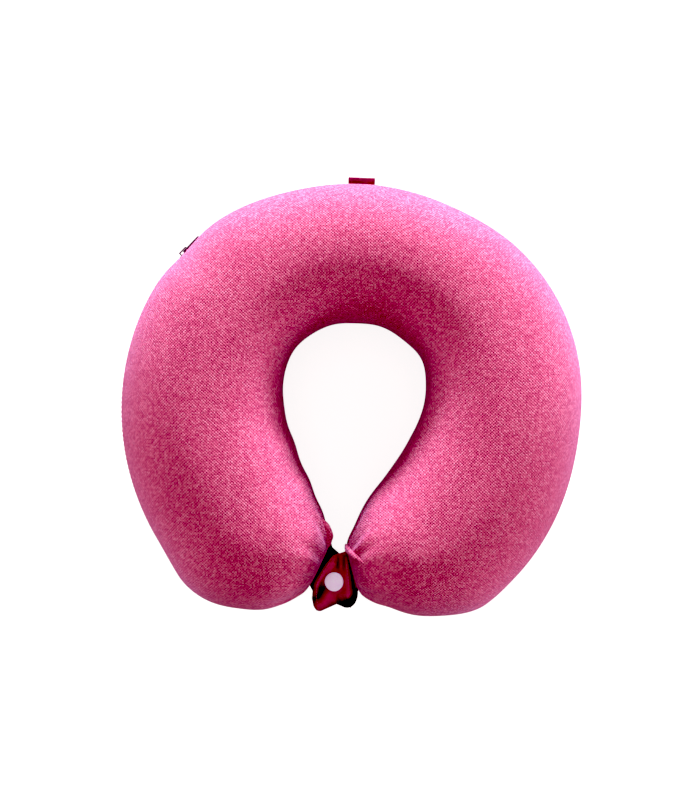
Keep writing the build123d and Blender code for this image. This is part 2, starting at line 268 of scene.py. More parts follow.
def spline(points, count):
    """A smooth line through a few points."""
    points = np.asarray(points, float)
    t = distances(points)
    s = np.linspace(0, t[-1], count)
    slope = np.gradient(points, t, axis=0)
    k = np.clip(np.searchsorted(t, s, side="right") - 1, 0, len(t) - 2)
    h = t[k + 1] - t[k]
    x = ((s - t[k]) / h)[:, None]
    h = h[:, None]
    a, b = points[k], points[k + 1]
    ma, mb = slope[k], slope[k + 1]
    return (
        (2 * x**3 - 3 * x**2 + 1) * a
        + (x**3 - 2 * x**2 + x) * h * ma
        + (-2 * x**3 + 3 * x**2) * b
        + (x**3 - x**2) * h * mb
    )


# ---------------------------------------------------------------- materials
class Shader:
    """A material with a Principled shader and short names for its nodes."""

    def __init__(self, name):
        self.material = bpy.data.materials.new(name)
        self.material.use_nodes = True
        self.tree = self.material.node_tree
        self.out = self.tree.nodes["Principled BSDF"]

    def set(self, **values):
        for key, value in values.items():
            self.out.inputs[key.replace("_", " ")].default_value = value
        return self

    def link(self, source, target):
        self.tree.links.new(source, self.out.inputs[target])
        return self

    def node(self, kind, inputs=(), **settings):
        node = self.tree.nodes.new(kind)
        for key, value in settings.items():
            setattr(node, key, value)
        for key, value in dict(inputs).items():
            if isinstance(value, bpy.types.NodeSocket):
                self.tree.links.new(value, node.inputs[key])
            else:
                node.inputs[key].default_value = value
        return node

    def math(self, operation, a, b=0.0, c=0.0, clamp=False):
        inputs = {0: a, 1: b, 2: c}
        return self.node("ShaderNodeMath", inputs, operation=operation, use_clamp=clamp).outputs[0]

    def noise(self, vector, scale, detail, roughness=0.5):
        inputs = {"Vector": vector, "Scale": scale, "Detail": detail, "Roughness": roughness}
        return self.node("ShaderNodeTexNoise", inputs).outputs["Fac"]

    def weave(self):
        """The cloth's own coordinates, whole and one by one."""
        vector = self.node("ShaderNodeAttribute", attribute_name="weave").outputs["Vector"]
        return vector, self.node("ShaderNodeSeparateXYZ", {0: vector}).outputs

    def ramp(self, factor, stops):
        node = self.node("ShaderNodeValToRGB", {"Fac": factor})
        elements = node.color_ramp.elements
        while len(elements) < len(stops):
            elements.new(0.5)
        for element, (place, colour) in zip(elements, stops):
            element.position = place
            element.color = (*colour, 1)
        return node.outputs["Color"]

    def bump(self, height, strength, distance):
        inputs = {"Strength": strength, "Distance": distance * MM, "Height": height}
        node = self.node("ShaderNodeBump", inputs)
        return self.link(node.outputs["Normal"], "Normal")


def rgb(code):
    """Linear colour from a hex sRGB code."""
    parts = [int(code[i : i + 2], 16) / 255 for i in (0, 2, 4)]
    return tuple(c / 12.92 if c <= 0.04045 else ((c + 0.055) / 1.055) ** 2.4 for c in parts)


def knit(name, shades, pitch, heather, dots, bump, sheen, tint):
    """Heathered pique knit: a staggered lattice of stitches, each with its own shade."""
    s = Shader(name)
    weave, place = s.weave()
    x = s.math("DIVIDE", place[0], pitch[0] * MM)
    y = s.math("DIVIDE", place[1], pitch[1] * MM)
    wobble = s.noise(weave, 260.0, 1.0)
    x = s.math("MULTIPLY_ADD", wobble, 0.1, x)
    wave_x = s.math("SINE", s.math("MULTIPLY", x, 2 * math.pi))
    wave_y = s.math("SINE", s.math("MULTIPLY", y, 2 * math.pi))
    lattice = s.math("MULTIPLY", wave_x, wave_y)
    column = s.math("FLOOR", s.math("MULTIPLY", x, 2.0))
    row = s.math("FLOOR", s.math("MULTIPLY", y, 2.0))
    cell = s.node("ShaderNodeCombineXYZ", {0: column, 1: row}).outputs[0]
    shade = s.node("ShaderNodeTexWhiteNoise", {"Vector": cell}, noise_dimensions="2D").outputs["Value"]
    fibre = s.noise(weave, 1900.0, 3.0, 0.7)
    patch = s.noise(weave, 210.0, 4.0, 0.65)
    broad = s.noise(weave, 26.0, 2.0)
    f = 0.5
    for source, strength in [(shade, heather), (fibre, heather * 1.2), (patch, heather * 0.55), (broad, 0.1)]:
        f = s.math("MULTIPLY_ADD", s.math("SUBTRACT", source, 0.5), strength, f)
    dot = s.math("SMOOTH_MIN", lattice, 0.0, 0.2)
    f = s.math("MULTIPLY_ADD", dot, dots, f, clamp=True)
    s.link(s.ramp(f, list(zip((0.12, 0.5, 0.9), shades))), "Base Color")
    height = s.math("MULTIPLY_ADD", lattice, 0.5, s.math("MULTIPLY", fibre, 0.4))
    s.bump(s.math("MULTIPLY_ADD", shade, 0.3, height), 1.0, bump)
    s.set(Roughness=0.9, Specular_IOR_Level=0.15)
    s.set(Sheen_Weight=sheen, Sheen_Roughness=0.45, Sheen_Tint=(*tint, 1))
    return s.material


def plain_weave(
    name, dark, light, pitch, bump, sheen=0.2, rough=0.8, tint=(1, 1, 1), specular=0.2, shade=0.0
):
    """Plain woven cloth: over and under threads, with uneven yarn. The weave's third coordinate, in mm, is
    how deep a point lies in a fold: shade paints shade into the folds, towards black, and paints light onto
    the ridges."""
    s = Shader(name)
    weave, place = s.weave()
    x = s.math("MULTIPLY", place[0], 2 * math.pi / (pitch * MM))
    y = s.math("MULTIPLY", place[1], 2 * math.pi / (pitch * MM))
    threads = s.math("MULTIPLY", s.math("SINE", x), s.math("SINE", y))
    yarn = s.noise(weave, 1300.0, 3.0)
    broad = s.noise(weave, 140.0, 3.0)
    f = s.math("MULTIPLY_ADD", yarn, 0.5, s.math("MULTIPLY", broad, 0.5))
    f = s.math("MULTIPLY_ADD", threads, 0.16, f)
    # painted shade: cloth deep in a fold is darkened towards the black stop below, and cloth high on a ridge
    # is painted lighter
    f = s.math("MULTIPLY_ADD", place[2], -shade / MM, f, clamp=True)
    black = tuple(c * 0.12 for c in dark)
    s.link(s.ramp(f, [(0.0, black), (0.25, dark), (0.75, light)]), "Base Color")
    s.bump(s.math("MULTIPLY_ADD", threads, 0.5, yarn), 0.8, bump)
    s.set(Roughness=rough, Specular_IOR_Level=specular)
    s.set(Sheen_Weight=sheen, Sheen_Roughness=0.4, Sheen_Tint=(*tint, 1))
    return s.material


def moulded(name, base, dark, rough, metallic=0.0, scale=900.0, bump=0.02, coat=0.0, painted_glow=0.0):
    """Hard plastic, foam or painted metal: faint mottling, fine pits and uneven gloss. A little emission is
    painted light: it keeps a part bright where it sits in shade, though the part is no lamp."""
    s = Shader(name)
    place = s.node("ShaderNodeNewGeometry").outputs["Position"]
    fine = s.noise(place, scale, 4.0)
    broad = s.noise(place, scale / 8, 2.0)
    f = s.math("MULTIPLY_ADD", fine, 0.5, s.math("MULTIPLY", broad, 0.5), clamp=True)
    s.link(s.ramp(f, [(0.3, dark), (0.6, base)]), "Base Color")
    s.link(s.math("MULTIPLY_ADD", fine, 0.2, rough - 0.1), "Roughness")
    s.bump(fine, 0.5, bump)
    s.set(Metallic=metallic, Coat_Weight=coat, Coat_Roughness=0.25)
    # painted light: a faint lilac emission, though the part is no lamp
    s.set(Emission_Color=(0.8, 0.76, 1.0, 1), Emission_Strength=painted_glow)
    return s.material


cover_mat = knit(
    "cover_knit",
    shades=(rgb("982A4E"), rgb("C65C76"), rgb("E69CAE")),
    pitch=(2.0, 1.9),
    heather=0.36,
    dots=0.36,
    bump=0.3,
    sheen=0.4,
    tint=rgb("F0C0F8"),
)
# shade=0.5 paints shade into the front tab's folds and light onto its ridges
tab_mat = plain_weave(
    "tab_cloth", rgb("8A1640"), rgb("CC3A70"), 0.9, 0.16, 0.25, 0.5, rgb("FFA0C8"), specular=0.4, shade=0.5
)
# painted shadow: the rear tab's cloth is coloured near black for the deep shade it lies in beneath the front
# tab and between the arms
rear_shadow_mat = plain_weave("rear_tab_painted_shadow", rgb("100004"), rgb("2A0410"), 0.9, 0.16, 0.1, 0.7)
loop_mat = plain_weave("loop_ribbon", rgb("4A0820"), rgb("8A1840"), 0.8, 0.15, 0.3, 0.6, rgb("FFB0C8"))
liner_mat = plain_weave("liner_cloth", rgb("C9C2C4"), rgb("F2EEF0"), 0.5, 0.08)
tape_mat = plain_weave("zip_tape", rgb("6A0E34"), rgb("A22A5C"), 0.7, 0.12)
foam_mat = moulded("memory_foam", rgb("F2E8C8"), rgb("D9CCA4"), 0.9, scale=1500.0, bump=0.3)
coil_mat = moulded("zip_coil", rgb("A8306A"), rgb("8A2050"), 0.4)
metal_mat = moulded("zip_paint", rgb("4A1030"), rgb("2A0A1C"), 0.4, metallic=0.4, coat=0.3)
steel_mat = moulded("zip_stop_metal", rgb("A8A4A6"), rgb("8A8688"), 0.35, metallic=0.9)
# painted light: the snap's plastic gives off a little light of its own, to stay bright in the shaded gap
# between the arms
snap_mat = moulded("snap_plastic", rgb("F4ECFF"), rgb("E6DAF6"), 0.35, coat=0.2, painted_glow=0.2)
thread_mat = plain_weave("sewing_thread", rgb("B03068"), rgb("E26A9C"), 0.4, 0.05)
tab_thread_mat = plain_weave("tab_thread", rgb("C05088"), rgb("F0A0C0"), 0.4, 0.05)


# ---------------------------------------------------------------- the pillow's surface
def stations():
    """Places along both arms: bearings, then on past the fan's start to the noses."""
    ring = np.arange(0, FAN, 0.62)
    run = CORNER_B - FAN
    lead = FAN + run * np.linspace(0, NOSE, 22)[:-1]
    nose = FAN + run * (NOSE + (1 - NOSE) * np.sin(np.linspace(0, 1, 26) * np.pi / 2))
    nose[-1] = FAN + run * 0.9996
    half = np.concatenate([ring, lead, nose])
    return np.concatenate([-half[:0:-1], half])


def sections(u, inset, steps=240):
    """Closed outlines of the sections at stations u: points from the outer seam, over the top, to the inner
    seam and back underneath, with each one's centre, its direction across and its share of the fan."""
    sign = np.where(u < 0, -1.0, 1.0)
    a = np.abs(u)
    run = CORNER_B - FAN
    share = np.clip((a - FAN) / run, 0, 1)
    base = np.minimum(a, FAN)
    in_angle = base + share * (INNER_B - FAN)
    out_angle = base + share * run
    inner = polar(hole_edge(in_angle) + throat_of(in_angle * sign), in_angle)
    outer = polar(rim_edge(out_angle) - lean_of(out_angle * sign), out_angle)
    inner[:, 0] *= sign
    outer[:, 0] *= sign
    width = np.linalg.norm(outer - inner, axis=1)
    across = (outer - inner) / width[:, None]
    middle = (outer + inner) / 2
    e = np.clip((share - NOSE) / (1 - NOSE), 0, 1)
    wide_close = (1 - e**WIDE_POWER) ** (1 / WIDE_POWER)
    high_close = (1 - e**HIGH_POWER) ** (1 / HIGH_POWER)
    drop = 1 - (1 - TIP_SHARE) * share**TIP_POWER
    wide = (width / 2 - inset) * wide_close
    up = ((crest(out_angle) - SEAM_Z) * drop - inset) * high_close
    down = ((SEAM_Z + PRESS) * drop - inset) * high_close
    t = np.linspace(0, 2 * np.pi, steps + 1)
    c, s = np.cos(t), np.sin(t)
    top = t <= np.pi
    power = np.where(top, TOP_POWER, BOTTOM_POWER)
    px = np.sign(c) * np.abs(c) ** (2 / power)
    pz = np.sign(s) * np.abs(s) ** (2 / power)
    x = wide[:, None] * px
    z = np.where(top, up[:, None] * pz, down[:, None] * pz)
    z = np.maximum(z, -SEAM_Z + inset)
    points = np.empty((len(u), steps + 1, 3))
    points[..., :2] = middle[:, None] + across[:, None] * x[..., None]
    points[..., 2] = SEAM_Z + z
    return points, middle, across, share


def resample(lines, start, count):
    """Points along each line from a distance on, a little denser at the ends."""
    q = np.linspace(0, 1, count)
    q = q - 0.35 * np.sin(2 * np.pi * q) / (2 * np.pi)
    runs = [distances(line) for line in lines]
    total = np.array([run[-1] for run in runs])
    along = start[:, None] + (total - start)[:, None] * q
    out = np.empty((len(lines), count, 3))
    for i, (line, run) in enumerate(zip(lines, runs)):
        out[i] = point_at(line, run, along[i]).T
    return out, along, total


def slot_open(u):
    """How far the cover's edge stands back from the seam: the zip's slot, on the left."""
    a = -u
    return SLOT_HALF * smooth(a, SLOT[0] - 0.2, SLOT[0] + 2.0) * (1 - smooth(a, SLOT[1] - 2.0, SLOT[1] + 0.2))


draw = np.random.default_rng(11)
WAVES = [
    (draw.uniform(1, 6), draw.uniform(1, 3), draw.uniform(0, 6.28), draw.uniform(0, 6.28)) for _ in range(9)
]


def panel_weave(p, along, total, middle, across, share, upper):
    """Cloth coordinates: flat over the crest, wrapped down the outer side, and upright on the end faces."""
    offset = ((p[..., :2] - middle[:, None]) * across[:, None]).sum(-1)
    arc = total[:, None] / 2 - along
    stretch = np.where(arc > 0, 1.0, 0.35)
    flat = middle[:, None] + across[:, None] * (offset + stretch * (arc - offset))[..., None]
    cg, sg = math.cos(GRAIN), math.sin(GRAIN)
    weave = np.zeros_like(p)
    weave[..., 0] = flat[..., 0] * cg + flat[..., 1] * sg
    weave[..., 1] = flat[..., 1] * cg - flat[..., 0] * sg
    weave[..., 2] = 0 if upper else 400
    end_face = share > 0.965
    weave[end_face, :, 0] = offset[end_face]
    weave[end_face, :, 1] = p[end_face][..., 2]
    return weave


def relief(p, u, share, along, total, opening):
    """How far the cloth stands out of its even section at each point."""
    a = np.abs(u)[:, None]
    to_outer = along - opening[:, None]
    to_inner = total[:, None] - along
    v = along / total[:, None]
    body = 1 - smooth(share, 0.75, 1.0)[:, None]
    # the stuffing swells the cover beside its seams, but hardly over the zip's slider
    clear = 1 - bump_at(along, 0, 9.0)
    swell_out = 3.0 * (1 - np.cos(np.radians(4 * (a - 8)))) / 2 * clear * (1 - smooth(along, 24, 70))
    swell_out = swell_out * (1 - 0.85 * bump_at(u, -52.5, 6))[:, None]
    swell_in = 1.3 * bump_at(a, 92, 22) + 1.6 * bump_at(a, 160, 10)
    swell_in = swell_in * (1 - bump_at(to_inner, 0, 8.0)) * (1 - smooth(to_inner, 20, 60))
    move = (swell_out + swell_in) * body
    # broad, shallow waves
    for turns, halves, start, lead in WAVES:
        wave = np.sin(np.radians(u)[:, None] * turns + start) * np.sin(v * math.pi * halves + lead)
        move = move + 0.16 * wave * np.minimum(1, clear + 0.2)
    # seams: a groove, with small puckers along it
    at_slot = opening[:, None] > 0.5
    move = move - 1.2 * bump_at(to_outer, 0, 1.7) * (1 - 0.55 * at_slot) - 1.3 * bump_at(to_inner, 0, 1.9)
    run = distances(p[:, 8])[:, None]
    pucker = np.sin(run * 2 * np.pi / 5.2 + 1.3 * np.sin(run / 17.0)) * (0.6 + 0.4 * np.sin(run / 41.0))
    move = move + 0.22 * pucker * bump_at(to_outer, 3.0, 3.5) * body
    move = move + 0.20 * pucker * bump_at(to_inner, 3.0, 3.5) * body
    # gathers where the arms close to their tips
    fold = np.sin(v * 2 * np.pi * 6.5 + 1.1 * np.sin(v * 9 + np.sign(u)[:, None]))
    fold = fold + 0.5 * np.sin(v * 2 * np.pi * 11 + 2)
    near = smooth(share, 0.45, 0.8)[:, None] * (1 - smooth(share, 0.93, 1.0)[:, None])
    return move + 0.45 * fold * near * np.minimum(1, to_outer / 6) * np.minimum(1, to_inner / 6)


def panel(name, upper):
    """One panel of the cover, over the top or underneath, as a closed cloth with its edges turned in."""
    u = stations()
    points, middle, across, share = sections(u, 0)
    half = points.shape[1] // 2
    lines = points[:, : half + 1] if upper else points[:, half:][:, ::-1]
    opening = slot_open(u)
    p, along, total = resample(lines, opening, PANEL_ROWS)
    weave = panel_weave(p, along, total, middle, across, share, upper)
    outward = p - np.concatenate([middle, np.full((len(u), 1), SEAM_Z)], 1)[:, None]
    n = grid_normals(p)
    n *= np.sign((n * outward).sum(-1, keepdims=True))
    p = p + n * relief(p, u, share, along, total, opening)[..., None]
    p[..., 2] = np.maximum(p[..., 2], FLOOR_GAP)
    verts, faces = thick_grid(p, COVER_T, outward)
    verts[:, 2] = np.maximum(verts[:, 2], FLOOR_GAP)
    return new_mesh(name, verts, faces, cover_mat, both_sides(weave)), p, n, u


def closed_body(name, insets, material):
    """A foam or liner piece: the pillow's shape set in, with an inner wall when two insets are given."""
    u = stations()[::4]
    u[0], u[-1] = -stations()[-1], stations()[-1]
    parts = []
    for wall, inset in enumerate(insets):
        points, _, across, share = sections(u, inset, 72)
        points = points[:, :-1]
        # the end faces are set in too
        away = np.stack([-across[:, 1], across[:, 0], np.zeros(len(u))], 1) * np.sign(u)[:, None]
        far = inset * smooth(share, 0.75, 1.0) * (1 - (inset / 40.0) * smooth(share, 0.8, 1.0))
        points = points + (away * far[:, None])[:, None]
        nu, nv = points.shape[:2]
        faces = quads(nu, nv, 0, flip=(wall == 0), wrap=True).tolist()
        first = list(range(nv))
        last = [(nu - 1) * nv + j for j in range(nv)]
        faces += [first, last[::-1]] if wall else [first[::-1], last]
        parts.append((points.reshape(-1, 3), faces))
    verts, faces = gather(parts)
    return new_mesh(name, verts, faces, material, {"weave": verts * MM})


def bend_at_back(obj):
    """Bends at the back between the halves. In front of the ring's centre each arm keeps to its own half."""
    span = (HOLE_R - 0.5) * MM
    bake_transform(obj, "left_half", "right_half", (-span, 0, 0), (span, 0, 0))
    co = np.empty(len(obj.data.vertices) * 3, np.float32)
    obj.data.vertices.foreach_get("co", co)
    co = co.reshape(-1, 3)
    layer = obj.data.attributes["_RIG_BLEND"]
    w = np.empty(len(co), np.float32)
    layer.data.foreach_get("value", w)
    front = co[:, 1] < RING_Y * MM
    w[front] = (co[front, 0] > 0).astype(np.float32)
    layer.data.foreach_set("value", w)


cover_top, *top_surface = panel("pillow_cover_top", True)
cover_bottom, *bottom_surface = panel("pillow_cover_bottom", False)
foam = closed_body("pillow_foam", [FOAM_INSET], foam_mat)
liner = closed_body("pillow_liner", [LINER_OUT, LINER_IN], liner_mat)
for obj, slot_name, nodes in [
    (cover_top, "cover", ["cover_top_left", "cover_top_right"]),
    (cover_bottom, "cover", ["cover_bottom_left", "cover_bottom_right"]),
    (foam, "foam", ["foam_core_left", "foam_core_right"]),
    (liner, "liner", ["liner_left", "liner_right"]),
]:
    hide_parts(*nodes)
    bend_at_back(obj)


# ---------------------------------------------------------------- stitches along the zip's slot
def stitch(a, b, lift, radius):
    """One stitch: a short thread that dives into the cloth at both ends."""
    t = np.linspace(0, 1, 5)[:, None]
    line = a + (b - a) * t + lift * (np.sin(np.pi * t) * 1.6 - 0.6)
    return sweep(line, radius * np.array([0.55, 1, 1.1, 1, 0.55]), 6, up=lift)


def row_of_stitches(line, lift, first, end, pitch, length, radius):
    """Stitches along a line, each lifted off the cloth, between a first and an end distance."""
    run = distances(line)
    parts = []
    for start in np.arange(first, run[-1] - end, pitch):
        a = point_at(line, run, start)
        b = point_at(line, run, start + length)
        parts.append(stitch(a, b, point_at(lift, run, start + length / 2), radius))
    return parts


def slot_stitches(p, n, u):
    """Stitches beside the slot, a little in from a panel's edge."""
    line, lift = [], []
    for i in np.where((u < -SLOT[0] + 1.5) & (u > -SLOT[1] - 1.5))[0]:
        run = distances(p[i])
        line.append(point_at(p[i], run, 2.6))
        lift.append(point_at(n[i], run, 2.6))
    return row_of_stitches(np.array(line), np.array(lift) * 0.22, 0.5, 3, 3.1, 2.3, 0.24)


verts, faces = gather(slot_stitches(*top_surface) + slot_stitches(*bottom_surface))
slot_thread = new_mesh("zip_topstitch", verts, faces, thread_mat, {"weave": verts * MM})
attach(slot_thread, "left_half")


# ---------------------------------------------------------------- zip
TAPE_OUT = OUTER_R - 1.6 - 0.8  # inside the CAD cover and the room beside it
COIL_T = 1.7
COIL_OUT = TAPE_OUT + COIL_T
COIL_PITCH, WIRE_R = 1.25, 0.24
TAPE_T = 0.42
TAPE_FROM_MIDDLE, COIL_FROM_MIDDLE = 0.35, 0.45  # each side's edge, above or below the seam


def heights_of(node):
    low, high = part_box(node)
    return low.z / MM, high.z / MM


def tape(name, node, sign):
    """A strip of woven tape behind the slot, above the seam (sign 1) or below it (-1)."""
    a = np.linspace(-SLOT[0] + 2.4, -SLOT[1] - 2.4, 150)
    z = np.linspace(*heights_of(node), 14)
    z[0 if sign > 0 else -1] = SEAM_Z + TAPE_FROM_MIDDLE * sign
    ripple = 0.08 * np.sin(np.radians(a) * 90)[:, None] * np.ones(len(z))
    p = np.empty((len(a), len(z), 3))
    p[..., :2] = polar(TAPE_OUT - 0.05 + ripple, a[:, None])
    p[..., 2] = z
    out = p - CENTRE
    out[..., 2] = 0
    verts, faces = thick_grid(p, TAPE_T, out)
    weave = np.zeros_like(p)
    weave[..., 0] = np.radians(a)[:, None] * TAPE_OUT
    weave[..., 1] = z
    return new_mesh(name, verts, faces, tape_mat, both_sides(weave))


def coil(name, node, sign, phase):
    """A spiral of plastic wire along the tape's edge, with its heads towards the middle."""
    low_z, high_z = heights_of(node)
    if sign > 0:
        low_z = SEAM_Z + COIL_FROM_MIDDLE
    else:
        high_z = SEAM_Z - COIL_FROM_MIDDLE
    first, last = -SLOT[0] - 2.1, -SLOT[1] + 2.1
    turns = int(abs(last - first) * math.pi / 180 * COIL_OUT / COIL_PITCH)
    t = np.linspace(0, turns * 2 * np.pi, turns * 12) + phase
    p = np.empty((len(t), 3))
    r = (TAPE_OUT + COIL_OUT) / 2 + 0.03 + (COIL_T / 2 - 0.27) * np.cos(t)
    p[:, :2] = polar(r, np.linspace(first, last, len(t)))
    p[:, 2] = (low_z + high_z) / 2 + ((high_z - low_z) / 2 - 0.22) * np.sin(t)
    verts, faces = sweep(p, WIRE_R, 6, up=(0.3, 0.2, 0.9))
    return new_mesh(name, verts, faces, coil_mat)


for obj, slot_name, node in [
    (tape("tape_upper", "zip_tape_upper", 1), "zip_tape", "zip_tape_upper"),
    (tape("tape_lower", "zip_tape_lower", -1), "zip_tape", "zip_tape_lower"),
    (coil("coil_upper", "zip_coil_upper", 1, 0.0), "zip_coil", "zip_coil_upper"),
    (coil("coil_lower", "zip_coil_lower", -1, math.pi), "zip_coil", "zip_coil_lower"),
]:
    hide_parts(node)
    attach(obj, "left_half")

# CAD pieces that show as they are
for node, material, slot_name in [
    ("zip_top_stops", steel_mat, "zip_metal"),
    ("zip_bottom_stop", steel_mat, "zip_metal"),
    ("zip_slider", metal_mat, "zip_metal"),
    ("zip_puller", metal_mat, "zip_metal"),
    ("snap_socket", snap_mat, "snap_plastic"),
    ("snap_stud", snap_mat, "snap_plastic"),
    ("snap_cap_rear", snap_mat, "snap_plastic"),
]:
    obj = frame["nodes"][node]
    obj.data.materials.clear()
    obj.data.materials.append(material)


# ---------------------------------------------------------------- rolls of cloth at the arm tips
def roll(name, points, radii, body):
    """A soft roll of the cover's cloth along a few points, thin at its ends."""
    line = spline(points, 40)
    t = np.linspace(0, 1, 40)
    r = np.interp(t, np.linspace(0, 1, len(radii)), radii)
    r = r * np.sqrt(np.clip(1 - (2 * t - 1) ** 6, 0.01, 1))
    verts, faces = sweep(line, r, 20)
    out = verts - np.repeat(line, 20, axis=0)
    verts = verts + 0.06 * out * np.sin(verts[:, :1] * 1.1 + verts[:, 1:2] * 0.8)
    obj = new_mesh(name, verts, faces, cover_mat, {"weave": verts * MM})
    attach(obj, body)


def surface_height(x, y):
    """Height of the cover's top at a plan point."""
    q = top_surface[0].reshape(-1, 3)
    far = np.hypot(q[:, 0] - x, q[:, 1] - y)
    near = far < max(1.2, far.min() + 0.4)
    return q[near, 2].max()


# from the ring's centre, with heights from the floor on the left and over the cover on the right
LEFT_ROLL = [(-14, -71.0, 64), (-9.4, -76.5, 66), (-7.2, -83.0, 64), (-8.4, -89.0, 60), (-12.5, -94.5, 58)]
RIGHT_ROLL = [(4.9, -87.0, -0.6), (7.0, -90.0, 0.9), (11.5, -92.4, 0.9), (17.5, -95.6, -0.8)]
left_points = [(x, y + RING_Y, z) for x, y, z in LEFT_ROLL]
right_points = [(x, y + RING_Y, surface_height(x, y + RING_Y) + lift) for x, y, lift in RIGHT_ROLL]
roll("tip_roll_left", left_points, [0.8, 3.0, 3.5, 2.8, 0.8], "left_half")
roll("tip_roll_right", right_points, [1.0, 2.2, 1.9, 0.6], "right_half")


# ---------------------------------------------------------------- the tabs and the press stud
CAP_LOW, CAP_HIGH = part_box("snap_cap_front")
SNAP = np.array([(CAP_LOW.x + CAP_HIGH.x) / 2, (CAP_LOW.y + CAP_HIGH.y) / 2]) / MM
FRONT_HIGH = heights_of("tab_front")[1]
REAR_HIGH = heights_of("tab_rear")[1]
TAB_T = 1.1
TAB_GRID = (70, 60)
FOLD_SHARE = 0.22  # share of a tab's cloth between its root and the fold beside the arm
ROUND_FROM = 0.84  # share where a tab's free corner starts to round off
CAP_T, CAP_ROUND = 1.6, 0.7
RIVET_R, RIVET_LENGTH = 1.0, 2.6


def ridge(x, y, line, width, height):
    """Height of a soft fold along a few points."""
    line = np.array([ring_xy(*q) for q in line])
    best = np.full(x.shape, 1e9)
    fade = np.zeros(x.shape)
    total = len(line) - 1
    for k in range(total):
        a, b = line[k], line[k + 1]
        d = b - a
        t = np.clip(((x - a[0]) * d[0] + (y - a[1]) * d[1]) / (d @ d), 0, 1)
        far = np.hypot(x - a[0] - t * d[0], y - a[1] - t * d[1])
        near = far < best
        best = np.where(near, far, best)
        fade = np.where(near, (k + t) / total, fade)
    return height * np.exp(-((best / width) ** 2)) * np.sin(np.pi * np.clip(0.12 + 0.8 * fade, 0, 1)) ** 0.5


def tab_mesh(name, root, middle, edge, heights, material):
    """A tab between three lines: where it is sewn to the arm, its fold beside that, and its free edge."""
    b = TAB_GRID[0]
    lines = [spline([ring_xy(*point) for point in line], b) for line in (root, middle, edge)]
    q, s = np.meshgrid(np.linspace(0, 1, b), np.linspace(0, 1, TAB_GRID[1]), indexing="ij")
    # the free corner is rounded off
    span = 1 - ROUND_FROM
    dq, ds = np.clip((q - ROUND_FROM) / span, 0, 1), np.clip((s - ROUND_FROM) / span, 0, 1)
    squeeze = np.maximum(dq, ds) / np.maximum(np.hypot(dq, ds), 1e-6)
    corner = (dq > 0) & (ds > 0)
    q = np.where(corner, ROUND_FROM + span * dq * squeeze, q)
    s = np.where(corner, ROUND_FROM + span * ds * squeeze, s)
    place = q * (b - 1)
    k = np.clip(place.astype(int), 0, b - 2)
    part = (place - k)[..., None]
    root_at, fold_at, edge_at = (line[k] * (1 - part) + line[k + 1] * part for line in lines)
    first = np.clip(s / FOLD_SHARE, 0, 1)[..., None]
    second = np.clip((s - FOLD_SHARE) / (1 - FOLD_SHARE), 0, 1)[..., None]
    to_fold = root_at * (1 - first) + fold_at * first
    to_edge = fold_at * (1 - second) + edge_at * second
    xy = np.where((s < FOLD_SHARE)[..., None], to_fold, to_edge)
    z = heights(xy[..., 0], xy[..., 1], s, q)
    p = np.concatenate([xy, z[..., None]], -1)
    up = np.zeros_like(p)
    up[..., 2] = 1
    run_s = np.stack([distances(row) for row in p])
    run_q = np.stack([distances(p[:, j]) for j in range(TAB_GRID[1])], axis=1)
    # painted light and shade for the cloth: how far a point lies below the tab's middle height, so folds are
    # painted darker and ridges lighter
    fold_light_and_shade = np.clip((np.median(z) - z) / 2.5, -0.6, 1)
    verts, faces = thick_grid(p, TAB_T, up)
    return new_mesh(name, verts, faces, material, both_sides(np.stack([run_s, run_q, fold_light_and_shade], -1))), p


def seated(z, x, y, seat, inner, outer):
    """A tab's heights, levelled to its seat around the press stud."""
    flat = 1 - smooth(np.hypot(x - SNAP[0], y - SNAP[1]), inner, outer)
    return z * (1 - flat) + seat * flat


# soft folds of the front tab, from the ring's centre: points, width, height
FRONT_FOLDS = [
    ([(6.8, -97), (8.2, -104), (9.4, -113), (10.2, -121.0)], 1.4, 5.0),
    ([(-1.3, -97.4), (-6.5, -105.5), (-11.4, -114.9)], 2.2, 4.6),
    ([(0.9, -95.5), (1.4, -104.0)], 0.9, -2.2),
    ([(2.8, -95.0), (3.6, -104.0)], 1.0, 1.4),
    ([(5.2, -95.0), (5.8, -104.0)], 0.9, -2.0),
    ([(-3.2, -101.0), (-8.2, -112.0), (-9.0, -118.0)], 1.2, -2.6),
    ([(-5.0, -114.6), (-9.0, -122.5), (-12.4, -127.0)], 2.0, -3.0),
    ([(-2.0, -121.0), (-6.0, -128.0)], 2.2, 1.2),
    ([(3.0, -121.0), (5.0, -127.0)], 1.4, -1.3),
]


def front_heights(x, y, s, q):
    # the sewn end dips into the gap beside the arm
    z = FRONT_HIGH + 0.2 - 3.4 * bump_at(s, 0.10, 0.07) * smooth(RING_Y - y, 90, 100)
    for line, width, height in FRONT_FOLDS:
        z = z + ridge(x, y, line, width, height)
    # the free edges hang a little
    z = z - 2.6 * smooth(q, 0.86, 1.0) * (1 - 0.5 * smooth(s, 0.5, 1))
    z = z - 1.8 * smooth(s, 0.93, 1.0) * smooth(q, 0.1, 0.4)
    return seated(z, x, y, FRONT_HIGH + 0.12 * (x - SNAP[0]), 5.6, 7.8)


def rear_heights(x, y, s, q):
    z = REAR_HIGH + 1.2 * np.sin(x * 0.55 + 0.4) * smooth(s, 0.35, 0.5) * smooth(q, 0.5, 1.0)
    z = z - 2.0 * smooth(q, 0.85, 1.0) + 0.9 * smooth(s, 0.8, 1.0) * np.sin(q * 9)
    return seated(z, x, y, REAR_HIGH, 6.2, 9.0)


def bend_beside_arm(obj, arm, strap, joint, sign):
    """Turns from the arm's motion to the strap's in a short strip over the tab's hinge line."""
    hinge = Vector(joints[joint]["pos_m"])
    across = Vector((-FACE[1] * sign, FACE[0], 0))
    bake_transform(obj, arm, strap, hinge + across * 1.2 * MM, hinge - across * 3.0 * MM)


